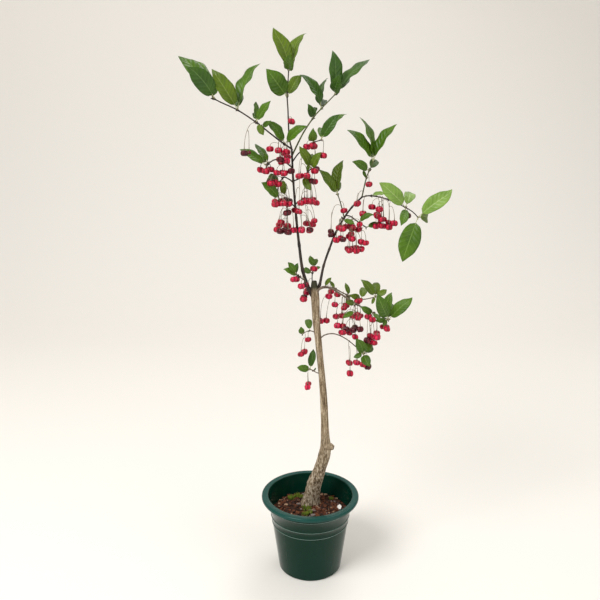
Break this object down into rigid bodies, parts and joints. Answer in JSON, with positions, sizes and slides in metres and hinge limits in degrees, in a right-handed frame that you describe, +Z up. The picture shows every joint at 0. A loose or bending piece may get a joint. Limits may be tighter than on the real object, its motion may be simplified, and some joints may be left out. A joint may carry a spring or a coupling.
{
  "type": "potted spindle tree",
  "caption": "Slender potted spindle tree: one bare trunk parting into thin boughs, with opposite green leaves and hanging clusters of red lobed fruit, in a glossy dark green plastic pot.",
  "frame": {"origin": "centre of the pot's flat underside", "axes": "+Z up along the pot's axis, -Y towards the viewer of the picture, +X to the viewer's right"},
  "size_m": [0.3676, 0.15, 0.7979],
  "materials": {
    "pot_green": "gloss",
    "potting_mix": "matte",
    "bark": "matte",
    "young_bark": "satin",
    "leaf_and_fruit": "satin"
  },
  "bodies": {
    "root": {"pot": "pot_green", "soil": "potting_mix", "trunk": "bark", "bough_left": "young_bark", "bough_right": "young_bark", "bough_low": "young_bark", "crown_top_left": "leaf_and_fruit", "crown_top": "leaf_and_fruit", "crown_top_right": "leaf_and_fruit", "spur_left_high": "leaf_and_fruit", "spur_right_high": "leaf_and_fruit", "spur_left_mid": "leaf_and_fruit", "spur_right_mid": "leaf_and_fruit", "spur_left_low": "leaf_and_fruit", "spur_right_low": "leaf_and_fruit", "crown_right_pair": "leaf_and_fruit", "crown_right_top": "leaf_and_fruit", "crown_right_outer": "leaf_and_fruit", "spur_right_inner": "leaf_and_fruit", "spur_right_hang": "leaf_and_fruit", "spray_low_outer": "leaf_and_fruit", "spray_low_inner": "leaf_and_fruit", "spray_low_back": "leaf_and_fruit", "twig_low": "leaf_and_fruit", "spur_fork_left": "leaf_and_fruit", "spur_fork_back": "leaf_and_fruit", "twig_left_upper": "leaf_and_fruit", "twig_left_lower": "leaf_and_fruit"}
  },
  "joints": []
}
